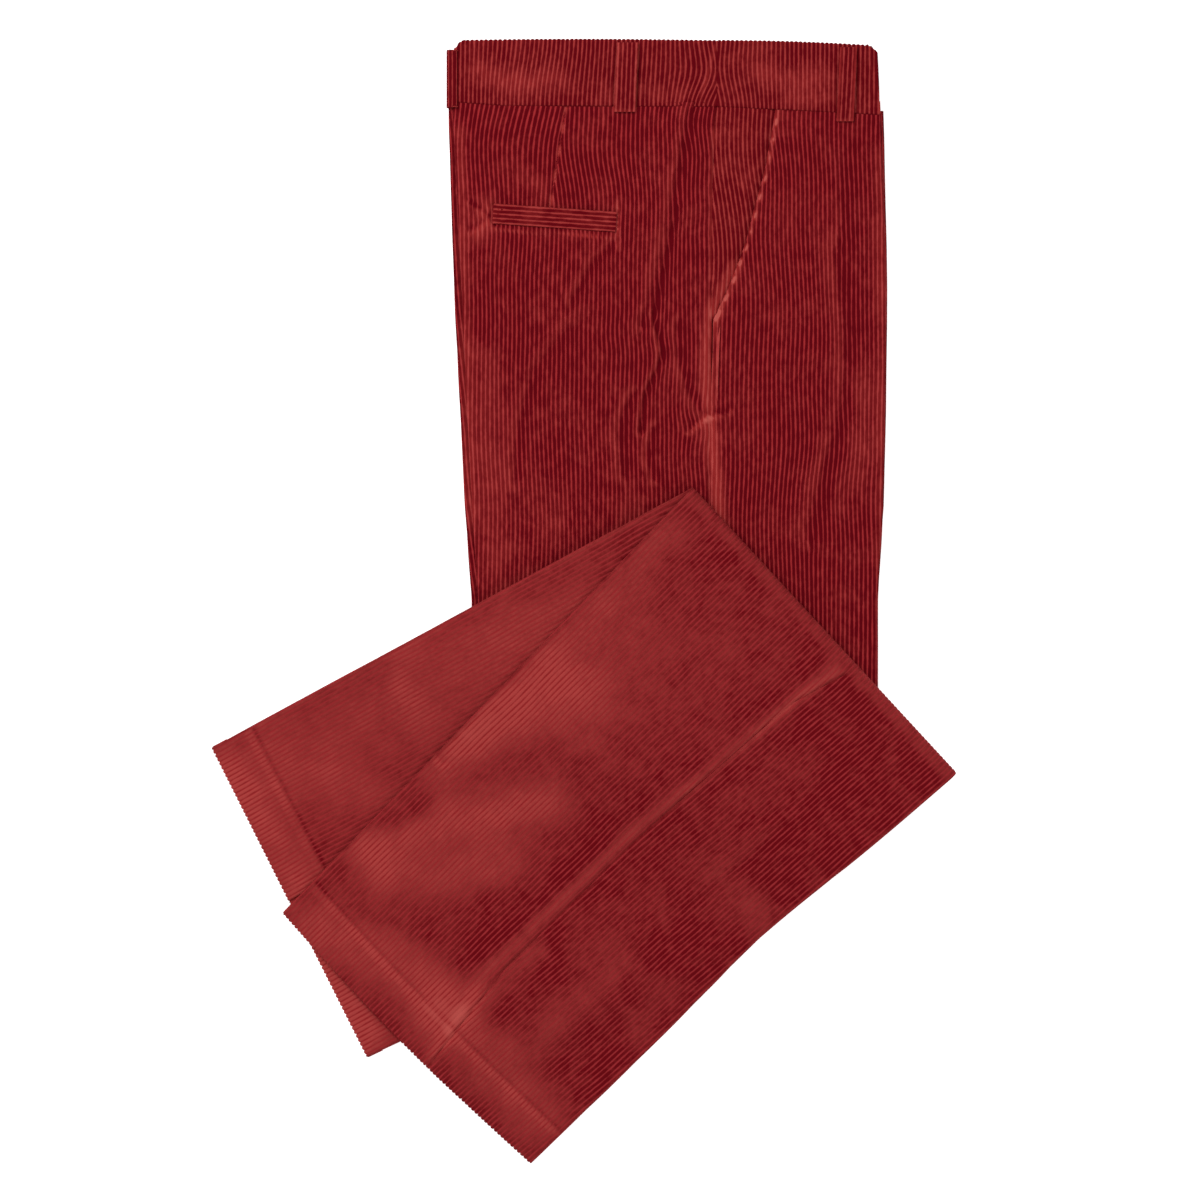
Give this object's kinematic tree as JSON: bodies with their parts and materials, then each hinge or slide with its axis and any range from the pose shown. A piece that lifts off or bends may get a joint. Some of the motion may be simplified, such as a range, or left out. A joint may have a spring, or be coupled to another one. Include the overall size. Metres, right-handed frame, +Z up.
{
  "type": "folded corduroy trousers",
  "caption": "High-waisted straight-leg corduroy trousers folded side seam up, with both legs turned back across the thighs and fanned, lying flat",
  "frame": {"origin": "middle of the footprint, on the surface the folded trousers lie on", "axes": "+Y from the hems to the waist, +X from the back edge to the front edge of the seat, +Z up"},
  "size_m": [0.5514, 0.8318, 0.0213],
  "materials": {
    "corduroy": "wide-wale cotton corduroy, matt with a brushed nap",
    "corduroy_trim": "the same corduroy, doubled, on band, loops and welts"
  },
  "bodies": {
    "root": {"left_back_panel": "corduroy", "left_front_panel": "corduroy", "hidden_layers": "corduroy", "right_back_panel": "corduroy", "right_front_panel": "corduroy", "right_pocket_facing": "corduroy", "left_pocket_facing": "corduroy", "right_back_leg": "corduroy", "right_front_leg": "corduroy", "right_leg_inner_half": "corduroy", "left_back_leg": "corduroy", "left_front_leg": "corduroy", "left_leg_outer_half": "corduroy", "waistband_right_back": "corduroy_trim", "waistband_right_front": "corduroy_trim", "waistband_left_back": "corduroy_trim", "waistband_left_front": "corduroy_trim", "belt_loop_right_back": "corduroy_trim", "belt_loop_right_front": "corduroy_trim", "belt_loop_left_back": "corduroy_trim", "belt_loop_left_front": "corduroy_trim", "belt_loop_centre_back": "corduroy_trim", "right_back_welt": "corduroy_trim", "left_back_welt": "corduroy_trim"}
  },
  "joints": []
}
